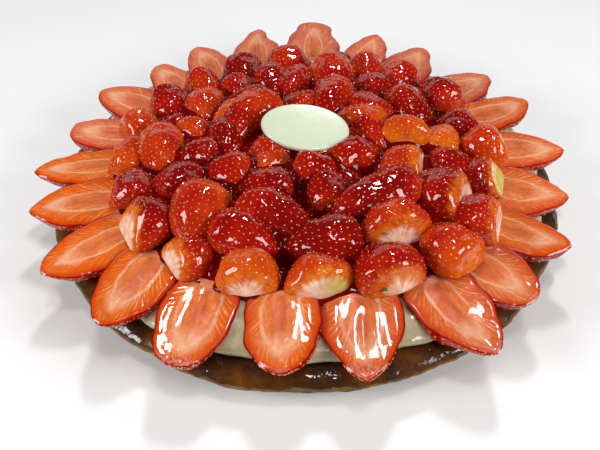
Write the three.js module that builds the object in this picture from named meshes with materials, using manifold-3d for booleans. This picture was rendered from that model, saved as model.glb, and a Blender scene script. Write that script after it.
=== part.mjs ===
// A round strawberry tart: a shallow pastry shell filled with custard, a ring of halved
// strawberries laid cut face up across the rim, a glazed heap of halved strawberries in the
// middle, and an oval chocolate plaque leaning on top of the heap.
// Millimetres, +Z up. The origin is the centre of the shell's flat underside.

import * as THREE from "three";
import { mergeVertices } from "three/addons/utils/BufferGeometryUtils.js";
import Module from "manifold-3d";

const wasm = await Module();
wasm.setup();

// ---------------------------------------------------------------- driving dimensions

const GAP = 0.3; // clearance between pieces that touch
const SLIVER = 0.12; // details finer than this are left out
const TURNS = 52; // segments round the shell and the custard

const SHELL = {
  foot: 129, // radius of the flat underside
  lip: 140, // radius at the widest point of the rim
  lipHeight: 14.7,
  crest: 131.5, // radius of the rim's highest line
  crestHeight: 20,
  wall: 124.5, // inner radius, where the custard starts
  floor: 5, // thickness of the bottom
  wander: 0.8, // how far the hand-rolled rim strays in and out
};

const CUSTARD = {
  edge: 130.5, // radius to which it bulges over the rim
  top: 27.5, // height of its flat top
  piping: 0.9, // how far the piped edge swells in and out
};

const SLICE = {
  height: 31, // height of the cut faces
  depth: 10, // from the cut face down to the deepest point of the skin
  stations: 6,
  sides: 14,
};

const HEAP = {
  base: CUSTARD.top + GAP, // underside of the heap
  core: 90, // radius of the core that the berries are pressed into
  coreSides: 36,
  coreHeight: 17, // how far the core rises in the middle
  edgeHeight: 5,
  lean: 5, // most degrees that a half leans to one side
  dip: 4, // most degrees that its tip dips or rises
  stations: 4,
  sides: 10,
};

const PLAQUE = {
  length: 47.5,
  width: 29.5,
  thickness: 3,
  bevel: 0.6,
  curveSegments: 12,
  centre: [-1, -2, 51.5],
  lean: 19, // degrees that the far edge is raised
  turn: -9, // degrees about its own upright
};

// Shares of a berry's length from its hull end: where it is widest, and the middle and spread of
// the pinch that some berries have behind the tip.
const BELLY = 0.3;
const PINCH = 0.76;
const PINCH_SPREAD = 0.15;

// The radius of the flat end left where the hull was cut off, as a share of the largest radius.
const HULL_CUT = 0.6;

// The flat end of a half in the heap is slanted: its slope, the share of the length over which
// the slant dies out, and the sizes of flat end between which a half starts and ends being slanted.
const HULL_SLANT = 1.5;
const SLANT_FADE = 0.6;
const SLANT_STARTS = 0.45;
const SLANT_FULL = 0.6;

// The ring of halves, anticlockwise from the right-hand side. Each row is one half: the bearing
// and radius of its tip, how far its axis swings from radial, its length, its width, how blunt
// the tip is, how far the tip is lifted above the hull end, the roll in degrees, how far the
// middle bows sideways, and how deep the pinch is, as a share of the radius.
const RING = [
  [3, 146, -6, 47, 31, 0.35, 1, 4, -0.7, 0],
  [23, 149, 2, 49, 29, 0.6, 1, 2, -2, 0],
  [36, 146, -1, 47, 32, 0.45, 2, 3, -0.5, 0],
  [56, 144, 2, 46, 31, 0.6, 3, 5, 0, 0.18],
  [70, 144, -2, 47, 29, 0.4, 5, 6, 0, 0.05],
  [88, 151, 0, 49, 37, 1.3, 6, 4, 0.5, 0.27],
  [104, 146, -9, 47, 34, 0.3, 5, -2, 2, 0.25],
  [123, 141, -8, 45, 29, 0.6, 3, -3, -1, 0.05],
  [137, 138, -8, 45, 27, 0.9, 2, -5, 0, 0.08],
  [154, 146, 0, 48, 31, 0.6, 1, -6, -0.7, 0],
  [170, 141, 5, 47, 28, 1.1, 0, -3, 2, 0],
  [186, 149, 2, 49, 29, 0.4, 0, -2, 0, 0],
  [198, 149, -8, 49, 33, 0.35, -1, -3, -1, 0],
  [216, 151, 3, 49, 31, 0.5, -1, -5, 0, 0],
  [233, 147, 14, 48, 33, 0.6, -1, -3, 0.5, 0],
  [249, 147, 8, 47, 33, 1.2, -1, -3, 0, 0.04],
  [266, 141, 4, 44, 33, 0.8, -1, 5, 0, 0],
  [280, 145, -9, 46, 37, 0.3, -1, 4, 0, 0.08],
  [302, 152, -3, 49, 36, 0.4, -1, 3, -1.5, 0.05],
  [316, 144, 1, 46, 34, 0.85, -1, 5, 0.5, 0],
  [332, 145, 0, 46, 29, 0.6, 0, 3, -3, 0],
  [347, 141, 1, 44, 37, 0.3, 0, 2, -1, 0.08],
];

// The halves of the heap. Each row is one half, cut face down: where its middle lies, how far
// its cut face is raised above the heap's base, the bearing of its tip, its length and width, the
// radius of its hull end as a share of its largest, and how far its middle bows sideways.
const OUTER_BERRIES = [
  [-97, 21, 4, 285, 27, 22, 0.3, 0],
  [-82, 44, 4, 290, 31, 26, 0.3, 0],
  [-64, 65, 4, 300, 27, 24, 0.3, 0],
  [-41, 81, 5, 280, 31, 26, 0.3, 0],
  [-13, 93, 4, 270, 29, 28, 0.3, 0],
  [20, 93, 3, 255, 25, 19, 0.3, 0],
  [38, 86, 4, 280, 29, 25, 0.3, 0],
  [58, 77, 4, 250, 31, 26, 0.3, 0],
  [80, 57, 5, 110, 35, 29, 0.3, 0],
  [86, 22, 3, 200, 27, 29, 0.5, 0],
  [98, 5, 4, 185, 28, 30, 0.7, 0],
  [92, -22, 4, 165, 25, 27, 0.6, 0],
  [82, -53, 4, 163, 29, 31, 0.75, 0],
  [66, -73, 4, 130, 32, 31, 0.6, 0],
  [37, -86, 4, 110, 29, 35, 0.4, 0],
  [5, -90, 4, 105, 24, 31, 0.35, 0],
  [-25, -88, 4, 88, 28, 30, 0.35, 0],
  [-52, -79, 4, 35, 26, 25, 0.55, 0],
  [-75, -60, 5, 30, 29, 31, 0.6, 0],
  [-90, -33, 4, 100, 29, 24, 0.3, 0],
  [-97, -4, 4, 80, 31, 20, 0.3, 0],
];
const MIDDLE_BERRIES = [
  [-79, -5, 7, 280, 37, 27, 0.3, 0],
  [-79, 24, 4, 200, 19, 17, 0.3, 0],
  [-60, 37, 7, 280, 34, 24, 0.3, 0],
  [-42, 59, 6, 300, 26, 21, 0.3, 0],
  [-21, 62, 9, 284, 35, 22, 0.3, 0],
  [-9, 62, 9, 256, 35, 22, 0.3, 0],
  [16, 70, 8, 280, 40, 30, 0.3, 0],
  [41, 63, 7, 60, 26, 24, 0.3, 0],
  [60, 35, 8, 290, 35, 29, 0.3, 0],
  [75, 8, 6, 75, 27, 24, 0.5, 0],
  [78, -16, 7, 0, 27, 24, 0.3, 0],
  [65, -39, 9, 155, 34, 32, 0.72, 0],
  [42, -61, 8, 100, 27, 36, 0.4, 0],
  [8, -74, 8, 190, 37, 28, 0.3, 0],
  [-28, -72, 8, 330, 34, 29, 0.3, 0],
  [-52, -57, 9, 260, 36, 30, 0.3, 0],
  [-64, -31, 7, 60, 28, 26, 0.3, 0],
  [-58, -9, 8, 180, 25, 22, 0.3, 0],
  [-61, 11, 8, 330, 26, 20, 0.3, 0],
];
const CENTRE_BERRIES = [
  [-43, 2, 10, 270, 29, 24, 0.3, 0],
  [-41, -26, 10, 170, 26, 25, 0.3, 0],
  [-46, 25, 11, 237, 31, 18, 0.5, 2],
  [-34, 45, 10, 180, 27, 19, 0.3, 0],
  [-31, 17, 14, 238, 44, 27, 0.3, -4],
  [15, 38, 13, 258, 37, 26, 0.3, 0],
  [35, 31, 11, 120, 29, 26, 0.3, 0],
  [-5, 37, 11, 180, 23, 21, 0.3, 0],
  [30, 17, 14, 175, 31, 23, 0.5, 0],
  [54, 9, 12, 90, 24, 29, 0.5, 0],
  [35, 4, 10, 280, 28, 26, 0.3, 0],
  [27, -13, 12, 20, 31, 26, 0.3, 0],
  [49, -20, 11, 170, 27, 27, 0.75, 0],
  [34, -47, 15, 212, 50, 25, 0.3, 2],
  [11, -38, 9, 100, 32, 25, 0.3, 0],
  [5, -27, 15, 350, 23, 19, 0.3, 0],
  [22, -31, 8, 300, 21, 18, 0.3, 0],
  [-20, -9, 12, 210, 26, 21, 0.3, 0],
  [-20, -18, 11, 130, 23, 21, 0.6, 0],
  [-22, -38, 10, 195, 30, 24, 0.3, 0],
  [-14, -62, 12, 335, 41, 26, 0.3, 2],
  [0, 12, 12, 90, 29, 26, 0.3, 0],
  [10, -6, 13, 15, 29, 24, 0.3, 0],
];

// ---------------------------------------------------------------- working in solids

const UP = new THREE.Vector3(0, 0, 1);
const radians = THREE.MathUtils.degToRad;

// A closed three.js geometry as a manifold solid.
function solidOf(geometry) {
  const bare = geometry.clone();
  bare.deleteAttribute("normal");
  bare.deleteAttribute("uv");
  const merged = mergeVertices(bare, 1e-4);
  const vertProperties = merged.attributes.position.array;
  const triVerts = new Uint32Array(merged.index.array);
  return new wasm.Manifold(new wasm.Mesh({ numProp: 3, vertProperties, triVerts }));
}

// A manifold solid as a three.js mesh, which is one node of the tart.
function nodeOf(name, solid, material) {
  const { vertProperties, triVerts } = solid.getMesh();
  const geometry = new THREE.BufferGeometry();
  geometry.setAttribute("position", new THREE.BufferAttribute(vertProperties, 3));
  geometry.setIndex(new THREE.BufferAttribute(triVerts, 1));
  geometry.computeVertexNormals();
  const mesh = new THREE.Mesh(geometry, material);
  mesh.name = name;
  return mesh;
}

// The outer skin of a solid's largest piece, without loose crumbs, sealed hollows or slivers.
function outerSkin(solid) {
  const pieces = solid.simplify(SLIVER).decompose();
  return pieces.reduce((best, piece) => (piece.volume() > best.volume() ? piece : best));
}

// Moves each vertex of a geometry to where move(x, y, z) says.
function reshape(geometry, move) {
  const position = geometry.attributes.position;
  for (let i = 0; i < position.count; i++) {
    position.setXYZ(i, ...move(position.getX(i), position.getY(i), position.getZ(i)));
  }
  return geometry;
}

// A profile of [radius, height] pairs turned round the Z axis.
function turned(profile, segments) {
  const points = profile.map(([radius, height]) => new THREE.Vector2(radius, height));
  return new THREE.LatheGeometry(points, segments).rotateX(Math.PI / 2);
}

// ---------------------------------------------------------------- shell and custard

// Hand-rolled pastry isn't a true circle: the rim wanders in radius and in height.
function handRolled(x, y, z) {
  const radius = Math.hypot(x, y);
  const angle = Math.atan2(y, x);
  const share = THREE.MathUtils.smoothstep(radius, 110, SHELL.crest);
  const wave = Math.sin(3 * angle + 0.4) + 0.6 * Math.sin(7 * angle + 2) + 0.4 * Math.sin(13 * angle);
  const rise = 0.02 * Math.sin(4 * angle + 1) + 0.015 * Math.sin(9 * angle);
  const scale = radius > 0 ? 1 + (share * wave * SHELL.wander) / radius : 1;
  return [x * scale, y * scale, z * (1 + share * rise)];
}

function shellGeometry() {
  const { foot, lip, lipHeight, crest, crestHeight, wall, floor } = SHELL;
  const profile = [
    [0, 0],
    [foot, 0],
    [foot + 3, 2],
    [lip - 1, lipHeight - 1.6],
    [lip, lipHeight],
    [lip - 1.6, lipHeight + 2.2],
    [crest + 4, crestHeight - 1],
    [crest, crestHeight],
    [wall + 2.8, crestHeight - 0.6],
    [wall + 1, crestHeight - 3],
    [wall, floor + 1],
    [0, floor],
  ];
  return reshape(turned(profile, TURNS), handRolled);
}

function custardGeometry() {
  const { wall, floor, crestHeight } = SHELL;
  const { edge, top, piping } = CUSTARD;
  const profile = [
    [0, floor + GAP],
    [wall - GAP, floor + 1 + GAP],
    [wall + 1 - GAP, crestHeight - 3],
    [wall + 2.6 - GAP, crestHeight - 0.2],
    [edge - 1, crestHeight + 0.6],
    [edge, crestHeight + 2.2],
    [edge - 1.2, crestHeight + 4.6],
    [edge - 5, top - 1],
    [edge - 13, top],
    [0, top],
  ];
  const piped = (x, y, z) => {
    const radius = Math.hypot(x, y);
    const angle = Math.atan2(y, x);
    const share = z > crestHeight ? THREE.MathUtils.smoothstep(radius, edge - 12, edge) : 0;
    const lobe = share * piping * (Math.sin(26 * angle) + 0.8 * Math.sin(11 * angle));
    const scale = radius > 0 ? 1 + lobe / radius : 1;
    return handRolled(x * scale, y * scale, z);
  };
  return reshape(turned(profile, TURNS), piped);
}

// ---------------------------------------------------------------- strawberries

// The radius of a berry, as a share of its largest, at a share u of the way from hull to tip.
function berryRadius(u, { bluntness, hullCut, pinch }) {
  if (u < BELLY) {
    const shoulder = (BELLY - u) / BELLY;
    return hullCut + (1 - hullCut) * Math.sqrt(1 - shoulder ** 2.4);
  }
  const nose = (u - BELLY) / (1 - BELLY);
  const waist = 1 - pinch * Math.exp(-(((u - PINCH) / PINCH_SPREAD) ** 2));
  return waist * (1 - nose ** (1.7 + 1.1 * bluntness)) ** (0.85 - 0.35 * bluntness);
}

// A whole berry with its hull cut off, lying along +X with its hull end at x = 0.
function wholeBerry(form, { stations, sides }) {
  const { length, width, depth } = form;
  const profile = [[0, 0]];
  for (let i = 0; i < stations; i++) {
    const u = (1 - Math.cos((Math.PI * i) / stations)) / 2;
    profile.push([berryRadius(u, form) * (width / 2), u * length]);
  }
  profile.push([0, length]);
  const berry = turned(profile, sides).rotateZ(Math.PI / sides);
  return berry.rotateY(Math.PI / 2).scale(1, 1, depth / (width / 2));
}

// Half a berry, kept below the cut (side -1) or above it (side 1).
function halfBerry(whole, side) {
  const reach = 100; // well past any berry
  const room = new THREE.BoxGeometry(reach, reach, reach).translate(0, 0, (side * reach) / 2);
  return solidOf(whole).intersect(solidOf(room));
}

// A half bowed sideways, most of all in the middle of its length, and slanted at its hull end.
function bent(half, length, bow, slant = 0) {
  return half.warp((point) => {
    const share = THREE.MathUtils.clamp(point[0] / length, 0, 1);
    point[0] += slant * point[2] * (1 - THREE.MathUtils.smoothstep(share, 0, SLANT_FADE));
    point[1] += bow * 4 * share * (1 - share);
  });
}

// Where a berry goes: its point "back" millimetres from the hull end lands on the given place.
function placed(point, { heading, pitch, roll, back }) {
  return new THREE.Matrix4()
    .makeTranslation(point)
    .multiply(new THREE.Matrix4().makeRotationZ(heading))
    .multiply(new THREE.Matrix4().makeRotationY(pitch))
    .multiply(new THREE.Matrix4().makeRotationX(roll))
    .multiply(new THREE.Matrix4().makeTranslation(-back, 0, 0));
}

// One half of the ring, cut face up. grow is how far it is swollen, to cut others clear of it.
function ringHalf([bearing, radius, swing, length, width, bluntness, lift, roll, bow, pinch], grow = 0) {
  const form = {
    length: length + 2 * grow,
    width: width + 3 * grow,
    depth: SLICE.depth + 2 * grow,
    bluntness,
    hullCut: HULL_CUT,
    pinch,
  };
  const tip = new THREE.Vector3(radius, 0, SLICE.height + lift + grow).applyAxisAngle(UP, radians(bearing));
  const place = placed(tip, {
    heading: radians(bearing + swing),
    pitch: -Math.asin(lift / length),
    roll: radians(roll),
    back: length + grow,
  });
  return bent(halfBerry(wholeBerry(form, SLICE), -1), form.length, bow).transform(place.elements);
}

// The ring's halves, each cut clear of whichever neighbours lie nearer the front.
function ringSolids() {
  const swollen = RING.map((row) => ringHalf(row, GAP));
  const distanceBack = ([bearing]) => Math.sin(radians(bearing));
  return RING.map((row, i) => {
    const neighbours = [(i + 1) % RING.length, (i + RING.length - 1) % RING.length];
    const nearer = neighbours.filter((j) => distanceBack(RING[j]) < distanceBack(row));
    return outerSkin(nearer.reduce((half, j) => half.subtract(swollen[j]), ringHalf(row)));
  });
}

// ---------------------------------------------------------------- heap

function coreGeometry() {
  const { base, core, coreSides, coreHeight, edgeHeight } = HEAP;
  const profile = [
    [0, base],
    [core - 3, base],
    [core, base + edgeHeight - 1],
    [core - 4, base + edgeHeight],
    [core * 0.7, base + coreHeight * 0.7],
    [core * 0.4, base + coreHeight * 0.93],
    [0, base + coreHeight],
  ];
  return turned(profile, coreSides);
}

// One half of the heap, cut face down, leaning a few degrees as it settled.
function heapHalf([x, y, raised, heading, length, width, hullCut, bow], index) {
  const bluntness = 0.5 + 0.35 * Math.sin(7 * index);
  const form = { length, width, depth: width / 2, bluntness, hullCut, pinch: 0 };
  const cutFlat = THREE.MathUtils.smoothstep(hullCut, SLANT_STARTS, SLANT_FULL);
  const slant = HULL_SLANT * (1 - hullCut) * cutFlat;
  const place = placed(new THREE.Vector3(x, y, HEAP.base + raised), {
    heading: radians(heading),
    pitch: radians(HEAP.dip * Math.cos(4 * index)),
    roll: radians(HEAP.lean * Math.sin(3 * index + 1)),
    back: length / 2,
  });
  return bent(halfBerry(wholeBerry(form, HEAP), 1), length, bow, slant).transform(place.elements);
}

function heapSolid() {
  const berries = [...OUTER_BERRIES, ...MIDDLE_BERRIES, ...CENTRE_BERRIES].map(heapHalf);
  return wasm.Manifold.union([solidOf(coreGeometry()), ...berries]);
}

// ---------------------------------------------------------------- plaque

function plaqueSolid(grow = 0) {
  const { length, width, thickness, bevel, curveSegments, centre, lean, turn } = PLAQUE;
  const outline = new THREE.Shape().absellipse(0, 0, length / 2 + grow, width / 2 + grow, 0, 2 * Math.PI);
  const blank = new THREE.ExtrudeGeometry(outline, {
    depth: thickness + 2 * grow - 2 * bevel,
    bevelThickness: bevel,
    bevelSize: bevel,
    bevelOffset: -bevel,
    bevelSegments: 1,
    curveSegments,
  });
  blank.translate(0, 0, -thickness / 2 - grow + bevel);
  blank.rotateZ(radians(turn)).rotateX(radians(lean)).translate(...centre);
  return solidOf(blank);
}

// ---------------------------------------------------------------- assembly

const PASTRY = new THREE.MeshStandardMaterial({ color: 0x8a5a22, roughness: 0.55, metalness: 0 });
const CREAM = new THREE.MeshStandardMaterial({ color: 0xe8deb0, roughness: 0.35, metalness: 0 });
const FLESH = new THREE.MeshStandardMaterial({ color: 0xe2582c, roughness: 0.2, metalness: 0 });
const GLAZED = new THREE.MeshStandardMaterial({ color: 0xb3140c, roughness: 0.08, metalness: 0 });
const CHOCOLATE = new THREE.MeshStandardMaterial({ color: 0xe9edc8, roughness: 0.25, metalness: 0 });

const slices = ringSolids();
const swollenSlices = wasm.Manifold.union(RING.map((row) => ringHalf(row, GAP)));
const custard = outerSkin(solidOf(custardGeometry()).subtract(swollenSlices));
const heap = outerSkin(heapSolid().subtract(swollenSlices).subtract(plaqueSolid(GAP)));

const tart = new THREE.Group();
tart.name = "strawberry_tart";
tart.add(nodeOf("crust", solidOf(shellGeometry()), PASTRY));
tart.add(nodeOf("custard", custard, CREAM));
slices.forEach((slice, i) => {
  tart.add(nodeOf(`slice_${String(i + 1).padStart(2, "0")}`, slice, FLESH));
});
tart.add(nodeOf("berry_heap", heap, GLAZED));
tart.add(nodeOf("plaque", plaqueSolid(), CHOCOLATE));

export default tart;
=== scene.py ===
"""The looks of a strawberry tart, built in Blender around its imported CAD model.

Each CAD node is replaced by a finer piece in the same place: a browned shell, a piped custard,
a ring of strawberry halves laid cut face up, a glazed heap of halves cut face down with jelly
between them, and a bare chocolate plaque. Shapes are worked out in millimetres and turned into
metres as each mesh is made. The tables below place the halves as the CAD model does.
"""

import math

import bpy
import numpy as np
from mathutils import Matrix, Vector


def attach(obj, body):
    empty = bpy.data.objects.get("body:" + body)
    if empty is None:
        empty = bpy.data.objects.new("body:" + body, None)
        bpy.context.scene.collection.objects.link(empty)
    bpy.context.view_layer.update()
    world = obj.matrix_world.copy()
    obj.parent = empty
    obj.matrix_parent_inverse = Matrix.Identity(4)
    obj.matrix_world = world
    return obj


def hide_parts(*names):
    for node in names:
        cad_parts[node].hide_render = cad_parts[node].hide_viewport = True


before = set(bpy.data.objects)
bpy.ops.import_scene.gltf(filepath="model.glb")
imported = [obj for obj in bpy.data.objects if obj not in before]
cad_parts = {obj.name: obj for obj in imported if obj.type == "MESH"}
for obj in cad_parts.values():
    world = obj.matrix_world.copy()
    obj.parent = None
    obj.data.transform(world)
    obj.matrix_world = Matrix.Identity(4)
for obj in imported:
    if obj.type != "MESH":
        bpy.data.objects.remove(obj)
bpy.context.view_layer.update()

MM = 0.001

# ---- sizes and places in mm and degrees, as in the CAD model where it has them

SHELL_FOOT = 129.0
SHELL_LIP = 140.0
SHELL_LIP_HEIGHT = 14.7
SHELL_CREST = 131.5
SHELL_CREST_HEIGHT = 20.0
SHELL_WALL = 124.5
SHELL_FLOOR = 5.0
SHELL_WANDER = 0.8
# The flat undersides and middles of the shell and the custard are one face inside this radius.
SHELL_CAP = 60.0

CUSTARD_EDGE = 130.5
CUSTARD_TOP = 27.5
CUSTARD_PIPING = 0.9

SLICE_HEIGHT = 31.0
SLICE_DEPTH = 10.0
TIP_DROOP = 10.0

HEAP_BASE = 27.8
HEAP_LEAN = 5.0
HEAP_DIP = 4.0
HEAP_CORE = 90.0
HEAP_CORE_HEIGHT = 17.0

PLAQUE_LENGTH = 47.5
PLAQUE_WIDTH = 29.5
PLAQUE_THICKNESS = 3.0
PLAQUE_ROUNDING = 1.1
PLAQUE_CROWN = 0.15
PLAQUE_CENTRE = np.array([-1.0, -2.0, 51.5])
PLAQUE_LEAN = 19.0
PLAQUE_TURN = -9.0
PLAQUE_CLEARANCE = 0.3

# A berry is widest a share BELLY of its length from its hull end. That end bulges by HULL_BULGE,
# and in the ring its radius is a share HULL_CUT of the largest. A flat end leans by HULL_SLANT.
# A pinched berry is narrowest about PINCH_PLACE of its length.
BELLY = 0.3
HULL_CUT = 0.6
HULL_BULGE = 1.0
HULL_SLANT = 1.5
PINCH_PLACE = 0.76
PINCH_SPREAD = 0.15

# Each half of the ring, in mm and degrees: bearing and radius of the tip, swing of the axis from
# radial, length, width, bluntness, lift of the tip, roll, sideways bow, and pinch behind the tip.
RING = [
    (3, 146, -6, 47, 31, 0.35, 1, 4, -0.7, 0.0),
    (23, 149, 2, 49, 29, 0.6, 1, 2, -2.0, 0.0),
    (36, 146, -1, 47, 32, 0.45, 2, 3, -0.5, 0.0),
    (56, 144, 2, 46, 31, 0.6, 3, 5, 0.0, 0.18),
    (70, 144, -2, 47, 29, 0.4, 5, 6, 0.0, 0.05),
    (88, 151, 0, 49, 37, 1.3, 6, 4, 0.5, 0.27),
    (104, 146, -9, 47, 34, 0.3, 5, -2, 2.0, 0.25),
    (123, 141, -8, 45, 29, 0.6, 3, -3, -1.0, 0.05),
    (137, 138, -8, 45, 27, 0.9, 2, -5, 0.0, 0.08),
    (154, 146, 0, 48, 31, 0.6, 1, -6, -0.7, 0.0),
    (170, 141, 5, 47, 28, 1.1, 0, -3, 2.0, 0.0),
    (186, 149, 2, 49, 29, 0.4, 0, -2, 0.0, 0.0),
    (198, 149, -8, 49, 33, 0.35, -1, -3, -1.0, 0.0),
    (216, 151, 3, 49, 31, 0.5, -1, -5, 0.0, 0.0),
    (233, 147, 14, 48, 33, 0.6, -1, -3, 0.5, 0.0),
    (249, 147, 8, 47, 33, 1.2, -1, -3, 0.0, 0.04),
    (266, 141, 4, 44, 33, 0.8, -1, 5, 0.0, 0.0),
    (280, 145, -9, 46, 37, 0.3, -1, 4, 0.0, 0.08),
    (302, 152, -3, 49, 36, 0.4, -1, 3, -1.5, 0.05),
    (316, 144, 1, 46, 34, 0.85, -1, 5, 0.5, 0.0),
    (332, 145, 0, 46, 29, 0.6, 0, 3, -3.0, 0.0),
    (347, 141, 1, 44, 37, 0.3, 0, 2, -1.0, 0.08),
]

# For each half of the ring: how orange its flesh is and how much painted shade darkens it where less
# light reaches it, from 0 to 1, and how wide its core is, as a share of the width. Where the cut
# isn't plain, there follow the share of the length at the tip that it missed, where the skin shows,
# and how much the cut face is crowned across and how uneven it is, in mm.
PLAIN_CUT = (0.03, 0.3, 0.06)
RING_LOOKS = [
    (0.5, 0.1, 0.5),
    (0.6, 0.4, 0.45),
    (0.2, 0.4, 0.4),
    (0.1, 0.5, 0.4),
    (0.1, 0.35, 0.34),
    (0.1, 0.45, 0.3),
    (0.1, 0.45, 0.38),
    (0.2, 0.25, 0.4),
    (0.2, 0.1, 0.42),
    (0.3, 0.1, 0.4),
    (0.3, 0.0, 0.4),
    (0.9, 0.1, 0.33),
    (0.8, 0.1, 0.36),
    (0.9, 0.1, 0.34),
    (0.8, 0.2, 0.42, 0.03, 0.2, 0.06),
    (0.6, 0.1, 0.5, 0.1, -1.6, 0.05),
    (0.6, 0.1, 0.5, 0.04, 2.1, 0.04),
    (0.5, 0.35, 0.45, 0.15, 0.2, 0.13),
    (0.5, 0.35, 0.36, 0.1, -1.8, 0.12),
    (0.5, 0.35, 0.4, 0.05, -1.5, 0.15),
    (0.65, 0.4, 0.42),
    (0.5, 0.1, 0.4),
]

# Middle x and y, height of the cut face above the heap's base, bearing of the tip, length, width
# and colour from 0 dark red to 1 orange. Where the hull end isn't plain, there follow its
# paleness (yellow-green where it is negative), how flat it is cut as a share of the width, and
# the berry's sideways bow in mm.
PLAIN_HULL = (0.0, 0.3, 0.0)
OUTER_BERRIES = [
    (-97, 21, 4, 285, 27, 22, 0.7),
    (-82, 44, 4, 290, 31, 26, 0.25),
    (-64, 65, 4, 300, 27, 24, 0.4),
    (-41, 81, 5, 280, 31, 26, 0.05),
    (-13, 93, 4, 270, 29, 28, 0.45),
    (20, 93, 3, 255, 25, 19, 0.1, 0.1, 0.3, 0),
    (38, 86, 4, 280, 29, 25, 0.55, 0.1, 0.3, 0),
    (58, 77, 4, 250, 31, 26, 0.4),
    (80, 57, 5, 110, 35, 29, 0.2),
    (86, 22, 3, 200, 27, 29, 0.15, 0.2, 0.5, 0),
    (98, 5, 4, 185, 28, 30, 0.75, 0.8, 0.7, 0),
    (92, -22, 4, 165, 25, 27, 0.35, -0.9, 0.6, 0),
    (82, -53, 4, 163, 29, 31, 0.4, 0.75, 0.75, 0),
    (66, -73, 4, 130, 32, 31, 0.65, 0.35, 0.5, 0),
    (37, -86, 4, 110, 29, 35, 0.25, 0.7, 0.4, 0),
    (5, -90, 4, 105, 24, 31, 0.65, -1.0, 0.35, 0),
    (-25, -88, 4, 88, 28, 30, 0.95, 0.9, 0.35, 0),
    (-52, -79, 4, 35, 26, 25, 0.3, 1.0, 0.55, 0),
    (-75, -60, 5, 30, 29, 31, 0.15, 1.0, 0.6, 0),
    (-90, -33, 4, 100, 29, 24, 0.25),
    (-97, -4, 4, 80, 31, 20, 0.7),
]
MIDDLE_BERRIES = [
    (-79, -5, 7, 280, 37, 27, 0.6),
    (-79, 24, 4, 200, 19, 17, 0.2, 0.2, 0.3, 0),
    (-60, 37, 7, 280, 34, 24, 0.65),
    (-42, 59, 6, 300, 26, 21, 0.25),
    (-21, 62, 9, 284, 35, 22, 0.2),
    (-9, 62, 9, 256, 35, 22, 0.25),
    (16, 70, 8, 280, 40, 30, 0.45),
    (41, 63, 7, 60, 26, 24, 0.25, 0.1, 0.3, 0),
    (60, 35, 8, 290, 35, 29, 0.2),
    (75, 8, 6, 75, 27, 24, 0.9, 0.8, 0.5, 0),
    (78, -16, 7, 0, 27, 24, 0.3),
    (65, -39, 9, 155, 34, 32, 0.15, 0.95, 0.72, 0),
    (42, -61, 8, 100, 27, 36, 0.55, 0.95, 0.4, 0),
    (8, -74, 8, 190, 37, 28, 0.05),
    (-28, -72, 8, 330, 34, 29, 0.25),
    (-52, -57, 9, 260, 36, 30, 0.6),
    (-64, -31, 7, 60, 28, 26, 0.05),
    (-58, -9, 8, 180, 25, 22, 0.15),
    (-61, 11, 8, 330, 26, 20, 0.5),
]
CENTRE_BERRIES = [
    (-43, 2, 10, 270, 29, 24, 0.1),
    (-41, -26, 10, 170, 26, 25, 0.4),
    (-46, 25, 11, 237, 31, 18, 0.8, 0.4, 0.5, 2),
    (-34, 45, 10, 180, 27, 19, 0.2),
    (-31, 17, 14, 238, 44, 27, 0.5, 0.0, 0.3, -4),
    (15, 38, 13, 258, 37, 26, 0.35),
    (35, 31, 11, 120, 29, 26, 0.35),
    (-5, 37, 11, 180, 23, 21, 0.3),
    (30, 17, 14, 175, 31, 23, 0.75, 0.2, 0.5, 0),
    (54, 9, 12, 90, 24, 29, 0.8, 0.5, 0.5, 0),
    (35, 4, 10, 280, 28, 26, 0.35),
    (27, -13, 12, 20, 31, 26, 0.3),
    (49, -20, 11, 170, 27, 27, 0.65, 0.9, 0.75, 0),
    (34, -47, 15, 212, 50, 25, 0.2, 0.0, 0.3, 2),
    (11, -38, 9, 100, 32, 25, 0.1, 0.2, 0.3, 0),
    (5, -27, 15, 350, 23, 19, 0.3, 0.2, 0.3, 0),
    (22, -31, 8, 300, 21, 18, 0.15),
    (-20, -9, 12, 210, 26, 21, 0.35),
    (-20, -18, 11, 130, 23, 21, 0.5, 0.5, 0.6, 0),
    (-22, -38, 10, 195, 30, 24, 0.15),
    (-14, -62, 12, 335, 41, 26, 0.15, 0.0, 0.3, 2),
    (0, 12, 12, 90, 29, 26, 0.3),
    (10, -6, 13, 15, 29, 24, 0.3),
]

# Middle of each scrap of leaf, the bearing that it points to, its length and its width.
LEAVES = [
    (34.4, -102.6, 37.0, 200, 3.6, 2.0),
    (35.2, -102.2, 37.6, 300, 3.0, 1.6),
    (35.8, -75.6, 45.0, 240, 3.4, 1.9),
    (36.6, -75.2, 44.6, 320, 2.8, 1.5),
]

# ---- fineness and small sizes in mm

SHELL_TURNS = 420
CUSTARD_TURNS = 300
PLAQUE_TURNS = 160
SHELL_SPACING = 1.3
CUSTARD_SPACING = 1.2
SLICE_STATIONS = 56
SLICE_SIDES = 22
BERRY_STATIONS = 60
BERRY_SIDES = 38
WAVE_COUNT = 12

# The rings of the cut face, from the skin at 0 to the middle of the core at 1.
FACE_DEPTHS = np.array([0.0, 0.035, 0.08, 0.15, 0.23, 0.32, 0.41, 0.5, 0.59, 0.68, 0.77, 0.86, 0.94, 1.0])
FIBRE_STRETCH = np.array([0.3, 1.0, 1.0])
RIM_ROUNDING = 0.6
SLICE_SQUARENESS = 0.75
SLICE_HOLLOW = 0.8

SEED_SPACING = 3.3
SEED_SIZE = np.array([0.52, 0.34, 0.28])
SEED_SUNK = 0.14
TIP_SEED_SPACING = 2.4
DIMPLE_DEPTH = 0.2
DIMPLE_RADIUS = 0.8

JELLY_PITCH = 0.8
JELLY_REACH = 108.0
JELLY_BALL = 3.0
JELLY_SUNK = 0.8
JELLY_BELOW_CORE = 6.0
JELLY_SOFTENING = 9
JELLY_FLOOR = HEAP_BASE - 1.5
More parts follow.
